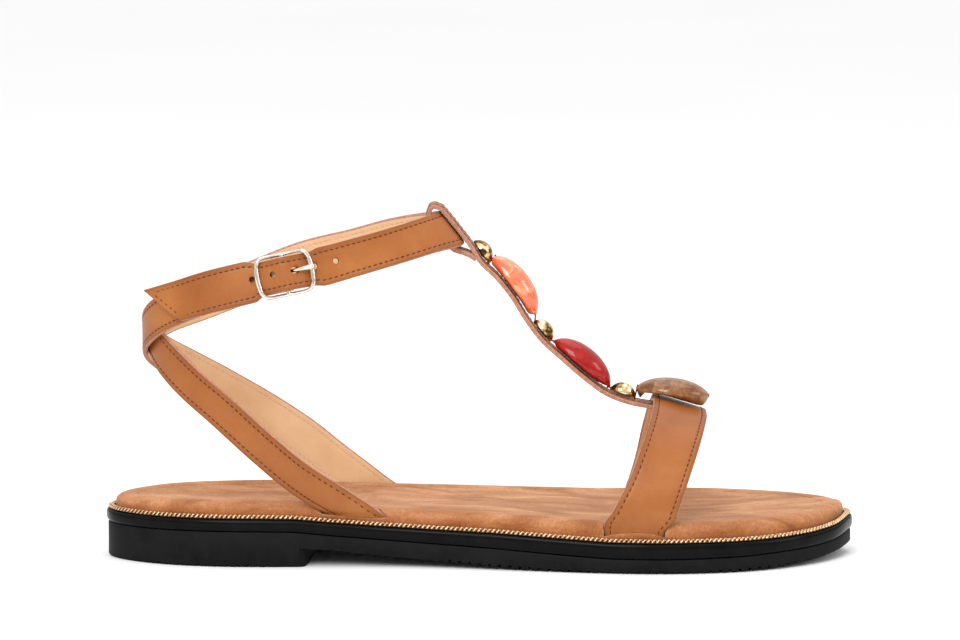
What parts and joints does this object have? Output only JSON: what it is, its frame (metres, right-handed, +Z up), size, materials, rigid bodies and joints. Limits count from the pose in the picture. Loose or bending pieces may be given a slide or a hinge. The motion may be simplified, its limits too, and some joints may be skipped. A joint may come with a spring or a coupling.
{
  "type": "t strap sandal",
  "caption": "Flat T strap sandal with a moulded heeled sole, beaded welt, padded footbed, buckled ankle strap and cabochon stones along the T.",
  "frame": {"origin": "on the floor, under the middle of the sole's length and width", "axes": "+X from heel to toe, +Y to the inner side of the foot, +Z up"},
  "size_m": [0.2593, 0.0898, 0.1225],
  "materials": {
    "rubber_black": "matte",
    "welt_black": "glossy",
    "gold": "polished",
    "suede_tan": "suede",
    "leather_tan": "satin",
    "buckle_silver": "polished",
    "coral": "polished, marbled",
    "carnelian": "polished",
    "jasper": "polished, marbled"
  },
  "bodies": {
    "root": {"outsole": "rubber_black", "midsole": "welt_black", "bead_trim": "gold", "footbed": "suede_tan", "upper_t_strap": "leather_tan", "upper_ankle_strap": "leather_tan", "buckle_frame": "buckle_silver", "buckle_prong": "buckle_silver", "stone_coral": "coral", "stone_red": "carnelian", "stone_jasper": "jasper", "gold_bead_1": "gold", "gold_bead_2": "gold", "gold_bead_3": "gold"}
  },
  "joints": []
}
